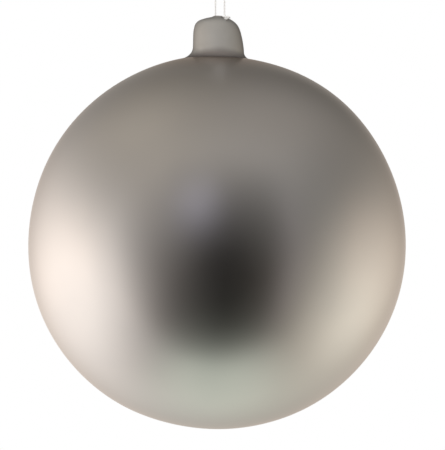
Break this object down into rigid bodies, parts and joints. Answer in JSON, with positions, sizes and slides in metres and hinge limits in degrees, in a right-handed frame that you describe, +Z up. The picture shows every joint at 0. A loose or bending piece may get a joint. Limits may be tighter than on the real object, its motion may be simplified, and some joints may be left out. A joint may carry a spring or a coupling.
{
  "type": "glass ball ornament",
  "caption": "Round satin-silver glass ball with a drilled, domed cap in the same finish, hung on a thin twisted cord loop tied through the cap",
  "frame": {"origin": "the hang point: the middle of the loop's top bend, on its inside, where a hook bears", "axes": "+Z up along the hanging cord, -Y the front, +X to the right seen from the front; the cord's loop lies in the upright plane turned 56 degrees from +X towards the front"},
  "size_m": [0.15, 0.15, 0.2159],
  "materials": {
    "satin_silver_glass": "satin",
    "satin_silver_cap": "satin",
    "coated_sealant": "satin",
    "white_cord": "matte"
  },
  "bodies": {
    "hook_end": {"loop_top": "white_cord"},
    "strands": {"loop_strands": "white_cord"},
    "ball": {"glass_ball": "satin_silver_glass", "cap": "satin_silver_cap", "seal": "coated_sealant", "cord_bight": "white_cord", "cord_knot": "white_cord"}
  },
  "joints": [
    {"name": "cord_twist", "type": "hinge", "parent": "hook_end", "child": "strands", "pos_m": [0, 0, -0.004], "axis": [0, 0, 1], "range_deg": [-180, 180], "stiffness_Nm_per_rad": 0.0004, "deforming": ["loop_strands"]},
    {"name": "ball_swing", "type": "hinge", "parent": "strands", "child": "ball", "pos_m": [0, 0, -0.05055], "axis": [0.5592, -0.829, 0], "range_deg": [-45, 45]}
  ]
}
